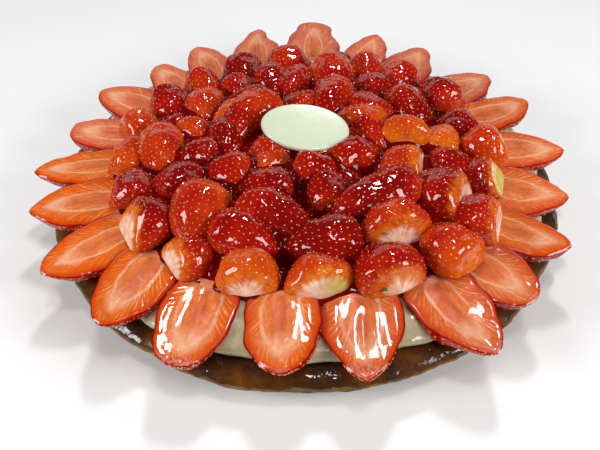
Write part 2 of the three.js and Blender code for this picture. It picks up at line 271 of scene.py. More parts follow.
# The core's height and the jelly's greatest height above the heap's base, by radius.
CORE_RADII = [0.0, 0.4 * HEAP_CORE, 0.7 * HEAP_CORE, HEAP_CORE - 4.0]
CORE_SHARES = [1.0, 0.93, 0.7, 0.3]
JELLY_RADII = [0.0, 40.0, 70.0, 88.0, 97.0, 103.0]
JELLY_HEIGHTS = [20.0, 18.5, 14.5, 9.5, 4.6, 3.4]

# How much riper, and so redder, a berry is at its tip and on top.
RIPER_TIP = 0.3
RIPER_TOP = 0.25

# The rays of the flesh in mm, and its core's middle and reach as shares of the length.
RAY_SPACING = 3.4
RAY_SLANT = 40.0
CORE_MIDDLE = 0.42
CORE_TO_TIP = 0.36
CORE_TO_HULL = 1.1

# What the skin and the flesh of a strawberry share, and the jelly brushed on them.
SOFT_FRUIT = {
    "Roughness": 0.5,
    "Subsurface_Weight": 0.1,
    "Subsurface_Scale": 0.0015,
    "Specular_IOR_Level": 0.0,
}
JELLY_IOR = 1.45

# Shades that the flesh is multiplied by: painted shade, where less light reaches a half, and grain.
PAINTED_FLESH_SHADE = (0.68, 0.62, 0.64, 1.0)
GRAIN = (0.88, 0.68, 0.6, 1.0)

# ---- floor, lights and camera, in metres and degrees

FLOOR_SIZE = 3.0
FLOOR_DROP = 0.0004
FLOOR_COLOUR = (0.93, 0.93, 0.93, 1.0)

# Name, azimuth and elevation in degrees, distance, width and height in metres, and power in
# watts. Azimuth 0 is behind the tart, towards +Y, and 90 to its right.
SOFTBOXES = [
    ("back_window", 9.0, 61.5, 1.0, 0.1, 0.15, 3.0),
    ("left_box", -116.0, 28.0, 1.0, 0.42, 0.34, 6.2),
    ("right_box", 118.0, 28.0, 1.0, 0.42, 0.34, 6.2),
    ("top_box", 160.0, 76.0, 1.1, 0.16, 0.16, 1.9),
    ("back_wall", 0.0, 23.0, 1.5, 2.6, 0.55, 3.8),
]
WORLD_STRENGTH = 0.055

CAMERA_PLACE = (0.0, -0.28203, 0.24834)
CAMERA_DOWN = 43.84
CAMERA_TURN = 0.705
CAMERA_ROLL = 0.18
CAMERA_LENS = 37.976
CAMERA_SENSOR = 36.0

# ---- numbers and noise


def smoothstep(low, high, value):
    """0 below low, 1 above high, smooth between them."""
    t = np.clip((value - low) / (high - low), 0.0, 1.0)
    return t * t * (3.0 - 2.0 * t)


def bell(value, middle, spread):
    """1 at the middle, and next to nothing two spreads away from it."""
    return np.exp(-(((value - middle) / spread) ** 2))


def waves(points, wavelength, seed):
    """Smooth noise of about unit size at points, made of sine waves in random directions."""
    rng = np.random.default_rng(seed)
    directions = rng.normal(size=(WAVE_COUNT, 3))
    directions /= np.linalg.norm(directions, axis=1)[:, None]
    stretch = rng.uniform(0.6, 1.5, size=WAVE_COUNT)
    phases = rng.uniform(0.0, 2.0 * math.pi, size=WAVE_COUNT)
    turns = points @ (directions * (2.0 * math.pi / wavelength * stretch)[:, None]).T
    return np.sin(turns + phases).sum(axis=-1) * math.sqrt(2.0 / WAVE_COUNT)


def arc_length(x, y):
    """The distance along a line to each of its points."""
    return np.concatenate([[0.0], np.cumsum(np.hypot(np.diff(x), np.diff(y)))])


def softened(values, passes):
    """Values along a line, averaged with their neighbours, except at its ends."""
    for _ in range(passes):
        values[1:-1] = (values[:-2] + 2.0 * values[1:-1] + values[2:]) / 4.0
    return values


def about(axis, degrees, size=3):
    """A rotation matrix about an axis."""
    return Matrix.Rotation(math.radians(degrees), size, axis)


def rotation(heading=0.0, pitch=0.0, roll=0.0):
    """A numpy rotation matrix: roll about X, then pitch about Y, then heading about Z, in degrees."""
    return np.array(about("Z", heading) @ about("Y", pitch) @ about("X", roll))


def laying(middle, turn, target):
    """A function that turns points about a place on a berry's axis and moves that place to target."""
    return lambda points: (points - np.array([middle, 0.0, 0.0])) @ turn.T + target


def linear(red, green, blue):
    """A colour given as 0 to 255 on screen, as Blender's linear RGBA."""
    values = []
    for channel in (red, green, blue):
        share = channel / 255.0
        values.append(share / 12.92 if share <= 0.04045 else ((share + 0.055) / 1.055) ** 2.4)
    return (*values, 1.0)


# ---- meshes


def clean_faces(points, faces):
    """The faces as lists, with a corner dropped where an edge has no length, as at a pole."""
    lists = faces.tolist()
    edges = points[faces] - points[np.roll(faces, 1, axis=1)]
    for row, corner in np.argwhere(np.abs(edges).max(axis=-1) < 1e-9)[::-1]:
        del lists[row][corner]
    return lists


def new_object(name, data):
    """An object in the scene that holds the data."""
    piece = bpy.data.objects.new(name, data)
    bpy.context.scene.collection.objects.link(piece)
    return piece


class Build:
    """Gathers vertices, faces, a material number for each face and named values for each vertex."""

    def __init__(self, *channels):
        self.points = []
        self.faces = []
        self.slots = []
        self.channels = {name: [] for name in channels}
        self.count = 0

    def join(self, faces, slot=0):
        """Adds faces between vertices that are there already."""
        self.faces.append(np.asarray(faces))
        self.slots.append(np.full(len(faces), slot))

    def add(self, points, faces, slot=0, **values):
        """Adds an (n, 3) array of points in mm and faces that number them from 0, and returns
        the number that the first of the points gets."""
        first = self.count
        self.points.append(points)
        self.join(np.asarray(faces) + first, slot)
        for name, stored in self.channels.items():
            stored.append(np.broadcast_to(values.get(name, 0.0), len(points)))
        self.count += len(points)
        return first

    def object(self, name, materials, node_names):
        """Makes the Blender object, riding on the tart and standing for the named CAD nodes."""
        mesh = bpy.data.meshes.new(name)
        points = np.concatenate(self.points) * MM
        polygons = [face for group in self.faces for face in clean_faces(points, group)]
        mesh.from_pydata(points.tolist(), [], polygons)
        mesh.polygons.foreach_set("material_index", np.concatenate(self.slots).astype(np.int32))
        mesh.polygons.foreach_set("use_smooth", np.ones(len(polygons), dtype=bool))
        for channel, stored in self.channels.items():
            attribute = mesh.attributes.new(channel, "FLOAT", "POINT")
            attribute.data.foreach_set("value", np.concatenate(stored).astype(np.float32))
        for material in materials:
            mesh.materials.append(material)
        mesh.update()
        piece = new_object(name, mesh)
        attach(piece, "root")
        if node_names:
            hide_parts(*node_names)


def grid_faces(rows, columns, flip=False):
    """Quads over a grid of rows by columns vertices."""
    corners = np.arange(rows - 1)[:, None] * columns + np.arange(columns - 1)
    quads = corners.reshape(-1, 1) + np.array([0, 1, columns + 1, columns])
    return quads[:, ::-1] if flip else quads


# ---- strawberries


def berry_radius(u, bluntness, hull_cut):
    """A berry's radius, as a share of its largest, a share u of the way from hull to tip."""
    shoulder = np.clip((BELLY - u) / BELLY, 0.0, 1.0)
    nose = np.clip((u - BELLY) / (1.0 - BELLY), 0.0, 1.0)
    hull_side = hull_cut + (1.0 - hull_cut) * np.sqrt(1.0 - shoulder**2.4)
    tip_side = (1.0 - nose ** (1.7 + 1.1 * bluntness)) ** (0.85 - 0.35 * bluntness)
    return np.where(u < BELLY, hull_side, tip_side)


def berry_profile(length, width, bluntness, stations, hull_cut, bulge, pinch=0.0):
    """Places and radii along a berry, evenly spaced from the middle of its hull end to its tip."""
    u = (1.0 - np.cos(np.linspace(0.0, math.pi, 400))) / 2.0
    radius = berry_radius(u, bluntness, hull_cut) * width / 2.0
    radius = radius * (1.0 - pinch * bell(u, PINCH_PLACE, PINCH_SPREAD))
    share = np.linspace(0.0, 0.95, 20)
    place = np.concatenate([-bulge * (1.0 - share**2), u * length])
    radius = np.concatenate([share * radius[0], radius])
    arc = arc_length(place, radius)
    even = np.linspace(0.0, arc[-1], stations)
    return softened(np.interp(even, arc, place), 2), softened(np.interp(even, arc, radius), 2)


def half_shell(place, radius, flatness, sides, seed, squareness=1.0):
    """The skin of a half berry as a (stations, sides + 1, 3) grid above its cut plane."""
    rng = np.random.default_rng(seed)
    angle = np.linspace(0.0, math.pi, sides + 1)
    lobes = 1.0
    for count, size in ((2.0, 0.03), (3.0, 0.02)):
        lobes = lobes + size * np.sin(count * angle + rng.uniform(0, 6.28))
    cosine = np.sign(np.cos(angle)) * np.abs(np.cos(angle)) ** squareness
    sine = np.abs(np.sin(angle)) ** squareness
    across = radius[:, None] * (cosine * lobes)[None, :]
    up = radius[:, None] * (sine * lobes)[None, :] * flatness
    along = np.repeat(place[:, None], sides + 1, axis=1)
    grid = np.stack([along, across, up], axis=-1)
    swell = waves(grid, 16.0, seed + 1) * 0.4 + waves(grid, 7.0, seed + 2) * 0.13
    swell = swell * smoothstep(0.0, 4.0, radius)[:, None]
    grid[..., 1] += np.cos(angle) * swell
    grid[..., 2] += np.sin(angle) * swell
    return grid


def bowed(points, length, bow):
    """Points moved sideways so that the middle of the berry's length stands off its ends by bow."""
    share = np.clip(points[..., 0] / length, 0.0, 1.0)
    points[..., 1] += bow * 4.0 * share * (1.0 - share)
    return points


def sample(grid, rows, columns):
    """Values of a (stations, sides, n) grid at fractional rows and columns."""
    i = np.clip(np.floor(rows).astype(int), 0, grid.shape[0] - 2)
    j = np.clip(np.floor(columns).astype(int), 0, grid.shape[1] - 2)
    s, t = (rows - i)[:, None], (columns - j)[:, None]
    near = grid[i, j] * (1 - t) + grid[i, j + 1] * t
    far = grid[i + 1, j] * (1 - t) + grid[i + 1, j + 1] * t
    return near * (1 - s) + far * s


def row_step(line):
    """The mean distance between the points of a line."""
    return np.linalg.norm(np.diff(line, axis=0), axis=1).mean()


def seed_places(grid, radius, first_row, seed):
    """Rows and columns, in a half shell's grid, of seeds set in staggered rings."""
    rng = np.random.default_rng(seed)
    step = row_step(grid[:, grid.shape[1] // 2])
    rows_out, columns_out = [], []
    for k, row in enumerate(np.arange(first_row, len(radius) - 1.5, SEED_SPACING / step)):
        around = math.pi * np.interp(row, np.arange(len(radius)), radius)
        number = max(int(round(around / SEED_SPACING)), 1)
        share = (np.arange(number) + (0.25 if k % 2 else 0.75)) / number
        share = share + rng.normal(0.0, 0.1, number) / number
        rows_out.append(row + rng.normal(0.0, 0.12, number) * SEED_SPACING / step)
        columns_out.append(np.clip(share, 0.01, 0.99) * (grid.shape[1] - 1))
    rows_out = np.clip(np.concatenate(rows_out), 0.5, len(radius) - 1.2)
    return rows_out, np.concatenate(columns_out)


def rim_seeds(grid, rows, columns, seed):
    """Seed places with a row added along each rim of the half, just below its cut face."""
    rng = np.random.default_rng(seed)
    along_rim = np.arange(5.0, grid.shape[0] - 2.0, SEED_SPACING / row_step(grid[:, 0]))
    for column in (0.7, grid.shape[1] - 1.7):
        rows = np.concatenate([rows, along_rim + rng.uniform(-0.3, 0.3, len(along_rim))])
        columns = np.concatenate([columns, column + rng.uniform(-0.3, 0.3, len(along_rim))])
    return rows, columns


def dimpled(grid, rows, columns):
    """The grid with a dimple pressed in at each seed, and the seeds' places and directions."""
    along = np.gradient(grid, axis=0)
    across = np.gradient(grid, axis=1)
    normal = np.cross(across, along)
    normal /= np.maximum(np.linalg.norm(normal, axis=-1, keepdims=True), 1e-9)
    middle = grid.mean(axis=(0, 1))
    if ((grid - middle) * normal).sum() < 0.0:
        normal = -normal
    at = sample(grid, rows, columns)
    flat = grid.reshape(-1, 3)
    nearest = np.sqrt(((flat[:, None, :] - at[None, :, :]) ** 2).sum(-1).min(axis=1))
    press = DIMPLE_DEPTH * bell(nearest, 0.0, DIMPLE_RADIUS)
    pressed = flat - normal.reshape(-1, 3) * press[:, None]
    return pressed.reshape(grid.shape), at, sample(normal, rows, columns), sample(along, rows, columns)


def seed_unit():
    """A small closed ball, as points on the unit sphere, triangles and quads."""
    rings, around = 3, 6
    points = [(1.0, 0.0, 0.0)]
    for i in range(1, rings):
        tilt = math.pi * i / rings
        for j in range(around):
            turn = 2.0 * math.pi * j / around
            side = math.sin(tilt)
            points.append((math.cos(tilt), side * math.cos(turn), side * math.sin(turn)))
    points.append((-1.0, 0.0, 0.0))
    last = len(points) - 1
    caps, band = [], []
    for j in range(around):
        after = (j + 1) % around
        caps.append((0, 1 + j, 1 + after))
        caps.append((last, last - 1 - j, last - 1 - after))
        band.append((1 + j, 1 + around + j, 1 + around + after, 1 + after))
    return np.array(points), np.array(caps), np.array(band)


SEED_POINTS, SEED_CAPS, SEED_BAND = seed_unit()


def add_seeds(build, slot, at, normal, along, seed):
    """Adds one seed for each place, lying along its berry."""
    rng = np.random.default_rng(seed)
    normal = normal / np.linalg.norm(normal, axis=1, keepdims=True)
    along = along - (along * normal).sum(1, keepdims=True) * normal
    along = along / np.maximum(np.linalg.norm(along, axis=1, keepdims=True), 1e-9)
    across = np.cross(normal, along)
    size = SEED_SIZE * rng.uniform(0.85, 1.15, (len(at), 1))
    axes = np.stack([along, across, normal], axis=1) * size[:, :, None]
    points = np.einsum("pk,nkc->npc", SEED_POINTS, axes) + (at - normal * SEED_SUNK)[:, None, :]
    offsets = np.arange(len(at))[:, None, None] * len(SEED_POINTS)
    tone = np.repeat(rng.uniform(0.0, 1.0, len(at)), len(SEED_POINTS))
    first = build.add(points.reshape(-1, 3), (SEED_CAPS + offsets).reshape(-1, 3), slot, tone=tone)
    build.join((SEED_BAND + offsets).reshape(-1, 4) + first, slot)


# ---- materials


class Wire:
    """A node's output. Its sums, differences and products are the outputs of new Math nodes."""

    def __init__(self, shader, output):
        self.shader = shader
        self.output = output

    def __add__(self, other):
        return self.shader.math("ADD", self, other)

    def __sub__(self, other):
        return self.shader.math("SUBTRACT", self, other)

    def __mul__(self, other):
        return self.shader.math("MULTIPLY", self, other)


class Shader:
    """A node material with a Principled shader, and short ways to add nodes.

    Sockets are named as in Blender, with _ for a space, and set from numbers, colours or wires.
    """

    def __init__(self, name, **sockets):
        self.material = bpy.data.materials.new(name)
        self.material.use_nodes = True
        self.nodes = self.material.node_tree.nodes
        self.links = self.material.node_tree.links
        self.principled = self.nodes["Principled BSDF"]
        self.set(**sockets)

    def value(self, node, socket, source):
        """Links a wire to a node's socket, or gives the socket a number or a colour."""
        if isinstance(source, Wire):
            self.links.new(source.output, node.inputs[socket])
        else:
            node.inputs[socket].default_value = source

    def fill(self, node, **sockets):
        for name, source in sockets.items():
            self.value(node, name.replace("_", " "), source)

    def set(self, **sockets):
        self.fill(self.principled, **sockets)

    def attribute(self, name):
        node = self.nodes.new("ShaderNodeAttribute")
        node.attribute_name = name
        return Wire(self, node.outputs["Fac"])

    def place(self):
        return Wire(self, self.nodes.new("ShaderNodeTexCoord").outputs["Object"])

    def vector(self, x, y, z=0.0):
        node = self.nodes.new("ShaderNodeCombineXYZ")
        self.fill(node, X=x, Y=y, Z=z)
        return Wire(self, node.outputs[0])

    def math(self, operation, a, b=0.0):
        node = self.nodes.new("ShaderNodeMath")
        node.operation = operation
        self.value(node, 0, a)
        self.value(node, 1, b)
        return Wire(self, node.outputs[0])

    def noise(self, vector, scale, detail=3.0, rough=0.55, distortion=0.0):
        node = self.nodes.new("ShaderNodeTexNoise")
        self.fill(node, Vector=vector, Scale=scale, Detail=detail, Roughness=rough, Distortion=distortion)
        return Wire(self, node.outputs["Fac"])

    def between(self, value, low, high):
        """0 below low, 1 above high, smooth between them."""
        node = self.nodes.new("ShaderNodeMapRange")
        node.interpolation_type = "SMOOTHSTEP"
        self.fill(node, Value=value, From_Min=low, From_Max=high)
        return Wire(self, node.outputs["Result"])

    def ramp(self, value, *stops):
        """A colour ramp through stops of a place and red, green and blue as 0 to 255 on screen."""
        node = self.nodes.new("ShaderNodeValToRGB")
        elements = node.color_ramp.elements
        while len(elements) < len(stops):
            elements.new(0.5)
        for element, (place, *colour) in zip(elements, stops):
            element.position = place
            element.color = linear(*colour)
        self.fill(node, Fac=value)
        return Wire(self, node.outputs["Color"])

    def mix(self, share, a, b, blend="MIX"):
        node = self.nodes.new("ShaderNodeMix")
        node.data_type = "RGBA"
        node.blend_type = blend
        for socket, source in ((0, share), (6, a), (7, b)):
            self.value(node, socket, source)
        return Wire(self, node.outputs[2])

    def bump(self, height, distance, **normal):
        """A normal tilted by a height, on top of another wire's Normal if there is one."""
        node = self.nodes.new("ShaderNodeBump")
        self.fill(node, Height=height, Distance=distance, Strength=1.0, **normal)
        return Wire(self, node.outputs["Normal"])


def glaze(shader, wobble=0.0012, scale=105.0):
    """A wet clear coat whose surface wobbles, as jelly that was brushed on."""
    height = shader.noise(shader.place(), scale, detail=1.2, rough=0.5)
    shader.set(Coat_Weight=1.0, Coat_Roughness=0.02, Coat_IOR=JELLY_IOR)
    shader.set(Coat_Normal=shader.bump(height, wobble))


def mottle(shader, scale, detail, *stops):
    """Colours the whole surface by a noise, through the stops of a ramp."""
    shade = shader.noise(shader.place(), scale, detail=detail)
    shader.set(Base_Color=shader.ramp(shade, *stops))


def skin_material():
    """Red strawberry skin, from dark red to orange, with a pale hull end."""
    shader = Shader("strawberry_skin", Subsurface_Radius=(1.0, 0.2, 0.1), **SOFT_FRUIT)
    place = shader.place()
    tone = shader.attribute("tone") + (shader.noise(place, 60.0) * 1.1 - 0.55)
    red = shader.ramp(
        tone * 0.75,
        (0.0, 130, 6, 7),
        (0.22, 166, 18, 9),
        (0.45, 192, 50, 13),
        (0.75, 214, 88, 12),
        (1.0, 222, 124, 18),
    )
    streak_place = shader.vector(shader.attribute("around"), shader.attribute("along"))
    streaks = shader.noise(streak_place, 1.0, distortion=0.4)
    pale = (streaks - 0.5) * 0.6 + shader.attribute("pale")
    patches = shader.noise(place, 240.0, rough=0.6)
    orange = shader.ramp(patches, (0.32, 202, 72, 14), (0.68, 228, 128, 36))
    amber = shader.mix(shader.between(pale, 0.05, 0.45), red, orange)
    cream = shader.ramp(
        patches * 0.6 + streaks * 0.4,
        (0.32, 232, 150, 112),
        (0.5, 244, 204, 176),
        (0.66, 252, 232, 214),
    )
    cream = shader.mix(shader.attribute("unripe") * 0.8, cream, linear(192, 194, 72))
    shader.set(Base_Color=shader.mix(shader.between(pale, 0.5, 0.85), amber, cream))
    glaze(shader)
    return shader.material


def seed_material():
    """Orange to yellow strawberry seeds under the glaze."""
    shader = Shader("strawberry_seed", Roughness=0.35)
    tone = shader.attribute("tone")
    shader.set(Base_Color=shader.ramp(tone, (0.0, 208, 96, 36), (1.0, 238, 168, 78)))
    glaze(shader)
    return shader.material


def leaf_material():
    """What is left of a strawberry's green hull."""
    shader = Shader("green_hull", Roughness=0.5)
    mottle(shader, 500.0, 2.0, (0.3, 44, 54, 14), (0.7, 104, 116, 44))
    glaze(shader)
    return shader.material


def flesh_rays(shader, place, depth, along, level):
    """The sharp rays that slant in from the skin, and how strongly they and fine ones show."""
    slant = along * (-0.6 * RAY_SLANT) + RAY_SLANT
    ray_along = shader.attribute("around") + depth * depth * slant
    shift = shader.noise(shader.vector(ray_along * 0.35, depth), 1.0, detail=2.0) * 10.0
    phase = ray_along * (2.0 * math.pi / RAY_SPACING) + shift
    sharp = shader.between(shader.math("SINE", phase), 0.2, 1.0)
    fine_place = shader.vector(ray_along * 1.2, depth * 2.0)
    fine = shader.between(shader.noise(fine_place, 1.0, rough=0.6), 0.4, 0.75)
    patchy = shader.between(shader.noise(place, 150.0, detail=2.0), 0.3, 0.65)
    rays = fine * 0.25 + sharp * patchy * 0.85
    return sharp, rays * shader.between(level, 0.06, 0.4)


def from_core(shader, along, wander):
    """The distance from the middle of the core, which is 1 at its edge."""
    past_middle = along - CORE_MIDDLE
    tip_side = shader.math("MAXIMUM", past_middle * (1.0 / CORE_TO_TIP), 0.0)
    hull_side = shader.math("MINIMUM", past_middle * (1.0 / CORE_TO_HULL), 0.0)
    sideways = shader.attribute("sideways")
    squares = tip_side * tip_side + hull_side * hull_side + sideways * sideways
    return wander * 1.4 + shader.math("SQRT", squares)


def core_colour(shader, streaks, tone, depth, along):
    """The streaked core, more orange or pink with the half, and its darker slit."""
    core = shader.ramp(
        streaks,
        (0.3, 202, 80, 40),
        (0.43, 220, 104, 52),
        (0.56, 232, 124, 64),
        (0.74, 240, 158, 104),
    )
    core = shader.mix(tone * 0.25, core, linear(246, 168, 104))
    # Partly painted reflection: halves with little orange, at the back of the ring, get pinker and
    # lighter, for their own paler flesh and for the glaze's hazy reflection there.
    core = shader.mix(shader.between(tone, 0.6, 0.0) * 0.22, core, linear(246, 176, 150))
    slit = shader.between(depth, 0.75, 1.0) * shader.between(along, 0.72, 0.5)
    return shader.mix(slit * 0.4, core, linear(188, 66, 28))


def flesh_material():
    """A cut strawberry's face: orange flesh, pale rays out from a pale line, and a streaked core."""
    shader = Shader("strawberry_flesh", Subsurface_Radius=(1.0, 0.4, 0.2), **SOFT_FRUIT)
    mix, between, noise, attribute = shader.mix, shader.between, shader.noise, shader.attribute
    place = shader.place()
    depth, along, across, tone = [attribute(name) for name in ("depth", "along", "across", "tone")]
    wander = noise(place, 120.0) * 0.2 - 0.1
    level = depth + wander

    orange = between(tone, 0.0, 0.75)
    # The pinker colours for little orange stand partly for the far halves' own flesh and partly for a
    # painted hazy reflection on their glaze.
    near_skin = mix(orange, linear(196, 68, 44), linear(212, 64, 2))
    inner = mix(orange, linear(218, 114, 86), linear(226, 96, 12))
    outer = mix(between(level, 0.0, 0.34), near_skin, inner)
    sharp_rays, rays = flesh_rays(shader, place, depth, along, level)
    outer = mix(rays, outer, mix(orange, linear(240, 168, 130), linear(242, 162, 94)))

    streak_place = shader.vector(along * 6.0, across * 0.45, tone)
    streaks = noise(streak_place, 1.0, detail=4.0, rough=0.65, distortion=0.3)
    away = from_core(shader, along, wander)
    core = core_colour(shader, streaks, tone, depth, along)
    flesh = mix(between(away, 1.1, 0.92), outer, core)
    pale = mix(streaks, linear(236, 154, 106), linear(246, 200, 162))
    beyond = between(away, 1.75, 1.0) * between(along, 0.52, 0.74) * between(level, 0.06, 0.3)
    flesh = mix(beyond * 0.75, flesh, pale)
    broken = between(noise(place, 130.0, detail=2.0), 0.3, 0.55) * 0.5 + 0.5
    line = between(away, 1.2, 1.04) * between(away, 0.86, 0.98) * broken
    flesh = mix(line * 0.85, flesh, pale)
    hull = between(along + wander, 0.16, 0.02)
    flesh = mix(hull * 0.6, flesh, linear(232, 158, 122))

    # Painted shade: each half's shade value darkens its flesh where less light reaches it.
    flesh = mix(attribute("shade"), flesh, PAINTED_FLESH_SHADE, blend="MULTIPLY")
    grain = between(noise(place, 550.0, rough=0.6), 0.45, 0.62)
    flesh = mix(grain * 0.5, flesh, GRAIN, blend="MULTIPLY")
    frost = noise(place, 700.0, detail=2.0)
    tip_skin = shader.ramp(frost, (0.35, 188, 62, 44), (0.7, 222, 134, 108))
    flesh = mix(between(attribute("tip") + wander * 2.0, -0.3, 0.4), flesh, tip_skin)
    skin = between(depth + wander * 0.2, 0.07, 0.02)
    shader.set(Base_Color=mix(skin, flesh, linear(132, 8, 8)))

    swell_place = shader.vector(along * 2.6, across * 0.26, tone)
    swell = shader.bump(noise(swell_place, 1.0, detail=0.0), 0.00035)
    shader.set(Coat_Weight=1.0, Coat_Roughness=0.012, Coat_IOR=JELLY_IOR)
    shader.set(Coat_Normal=shader.bump(sharp_rays, 0.00003, Normal=swell))
    return shader.material


def jelly_material():
    """Dark red jelly that has pooled between the berries."""
    shader = Shader("red_jelly", Roughness=0.5, Specular_IOR_Level=0.0)
    mottle(shader, 60.0, 2.0, (0.3, 84, 2, 4), (0.7, 128, 6, 6))
    glaze(shader, 0.0006, 150.0)
    shader.set(Coat_Weight=0.5, Coat_Roughness=0.05)
    return shader.material


def custard_material():
    """Pale cream custard with a soft gloss."""
    shader = Shader("custard_cream", Roughness=0.3, Coat_Weight=0.7, Coat_Roughness=0.08)
    shader.set(Subsurface_Weight=0.3, Subsurface_Scale=0.004, Subsurface_Radius=(1.0, 0.8, 0.5))
    place = shader.place()
    mottle(shader, 70.0, 3.0, (0.3, 172, 154, 118), (0.7, 198, 186, 150))
    shader.set(Coat_Normal=shader.bump(shader.noise(place, 90.0, detail=1.0), 0.003))
    shader.set(Normal=shader.bump(shader.noise(place, 400.0), 0.0002))
    return shader.material


def pastry_material():
    """Browned pastry: glazed on top, with a pale floury edge, and painted shade on the wall below it."""
    shader = Shader("browned_pastry", Specular_IOR_Level=0.1, Coat_IOR=1.5, Coat_Roughness=0.03)
    place = shader.place()
    fine = shader.noise(place, 1100.0, detail=4.0, rough=0.7)
    blotch = shader.noise(place, 60.0, detail=5.0, rough=0.6)
    mask = shader.between((blotch - 0.5) * 0.7 + shader.attribute("glazed"), 0.3, 0.7)
    baked = fine * 0.25 + blotch * 0.75
    baked = shader.ramp(baked, (0.32, 40, 18, 1), (0.48, 66, 34, 3), (0.66, 112, 64, 10))
    bare = fine * 0.6 + blotch * 0.4
    bare = shader.ramp(bare, (0.3, 96, 64, 28), (0.52, 134, 100, 56), (0.72, 176, 144, 98))
    # Painted shade: the wall below the lip is painted a darker brown, as it lies in shade.
    wall = shader.mix(fine, linear(70, 44, 18), linear(124, 88, 48))
    bare = shader.mix(shader.attribute("below"), bare, wall)
    shader.set(Base_Color=shader.mix(mask, bare, baked), Roughness=mask * -0.3 + 0.85)
    shader.set(Coat_Weight=mask * shader.between(blotch, 0.6, 0.4))
    shader.set(Normal=shader.bump(fine * (mask * -0.7 + 1.0), 0.0006))
    dents = shader.bump(shader.noise(place, 140.0, detail=1.0), 0.0006)
    ripple = shader.noise(place, 450.0, detail=1.0)
    shader.set(Coat_Normal=shader.bump(ripple, 0.0002, Normal=dents))
    return shader.material


def chocolate_material():
    """Smooth pale chocolate."""
    shader = Shader("pale_chocolate", Roughness=0.28, Coat_Weight=0.5, Coat_Roughness=0.08)
    shader.set(Subsurface_Weight=0.15, Subsurface_Scale=0.003)
    mottle(shader, 60.0, 2.0, (0.2, 206, 216, 186), (0.8, 214, 224, 196))
    shader.set(Normal=shader.bump(shader.noise(shader.place(), 150.0), 0.0001))
    return shader.material


# ---- shell and custard


def hand_rolled(points):
    """Pastry isn't a true circle: the rim wanders in radius and in height, as in the CAD model."""
    radius = np.hypot(points[..., 0], points[..., 1])
    angle = np.arctan2(points[..., 1], points[..., 0])
    share = smoothstep(110.0, SHELL_CREST, radius)
    wave = np.sin(3 * angle + 0.4) + 0.6 * np.sin(7 * angle + 2) + 0.4 * np.sin(13 * angle)
    rise = 0.02 * np.sin(4 * angle + 1) + 0.015 * np.sin(9 * angle)
    scale = 1.0 + share * wave * SHELL_WANDER / np.maximum(radius, 1.0)
    return points * np.stack([scale, scale, 1.0 + share * rise], axis=-1)


def smooth_profile(corners, spacing):
    """A polyline of (radius, height) corners, evenly spaced, softened and turned end to end."""
    lines = np.array(corners).T
    arc = arc_length(*lines)
    even = np.linspace(0.0, arc[-1], int(arc[-1] / spacing))
    return softened(np.stack([np.interp(even, arc, line) for line in lines], axis=1), 2)[::-1]


def turned(profile, turns):
    """A profile of radii and heights turned round Z, as a (turns, points, 3) grid."""
    angle = np.linspace(0.0, 2.0 * math.pi, turns, endpoint=False)[:, None]
    radius, height = profile.T
    return np.stack([radius * np.cos(angle), radius * np.sin(angle), height + 0.0 * angle], axis=-1)


def closed_turned(build, grid, **values):
    """Adds a turned grid, closed by a flat cap over each end of its profile."""
    turns, steps = grid.shape[:2]
    faces = grid_faces(turns + 1, steps) % (turns * steps)
    ring = build.add(grid.reshape(-1, 3), faces, **values) + np.arange(turns) * steps
    build.join([ring])
    build.join([ring[::-1] + steps - 1])


def shell():
    """The pastry shell, lumpy where it shows and chipped along its edge."""
    corners = [
        (SHELL_CAP, 0.0),
        (SHELL_FOOT, 0.0),
        (SHELL_FOOT + 3.0, 2.0),
        (SHELL_LIP - 1.0, SHELL_LIP_HEIGHT - 1.6),
        (SHELL_LIP, SHELL_LIP_HEIGHT),
        (SHELL_LIP - 1.6, SHELL_LIP_HEIGHT + 2.2),
        (SHELL_CREST + 4.0, SHELL_CREST_HEIGHT - 1.0),
        (SHELL_CREST, SHELL_CREST_HEIGHT),
        (SHELL_WALL + 2.8, SHELL_CREST_HEIGHT - 0.6),
        (SHELL_WALL + 1.0, SHELL_CREST_HEIGHT - 3.0),
        (SHELL_WALL, SHELL_FLOOR + 1.0),
        (SHELL_CAP, SHELL_FLOOR),
    ]
    grid = hand_rolled(turned(smooth_profile(corners, SHELL_SPACING), SHELL_TURNS))
    radius = np.hypot(grid[..., 0], grid[..., 1])
    height = grid[..., 2]
    shown = smoothstep(1.0, 6.0, height) * smoothstep(118.0, 126.0, radius)
    lumps = waves(grid, 22.0, 11) * 0.28 + waves(grid, 7.0, 12) * 0.14 + waves(grid, 2.6, 13) * 0.05
    edge = bell(height, SHELL_LIP_HEIGHT, 2.0) * smoothstep(136.0, 139.0, radius)
    chips = np.clip(waves(grid, 4.0, 14) - 0.9, 0.0, None) * 0.7 * edge
    outward = grid / np.maximum(np.linalg.norm(grid, axis=-1, keepdims=True), 1.0)
    grid = grid + outward * ((lumps - 0.3) * shown - chips)[..., None]
    grid[..., 2] = np.maximum(grid[..., 2], 0.0)
    edge_height = height + waves(grid, 9.0, 15) * 0.4
    glazed = smoothstep(SHELL_LIP_HEIGHT - 0.4, SHELL_LIP_HEIGHT + 1.6, edge_height)
    # Painted shade: marks the wall below the lip, which the pastry paints darker brown as shade.
    below = smoothstep(SHELL_LIP_HEIGHT - 1.0, SHELL_LIP_HEIGHT - 4.0, height)
    build = Build("glazed", "below")
    closed_turned(build, grid, glazed=glazed.ravel(), below=below.ravel())
    build.object("pastry_shell", [pastry_material()], ["crust"])


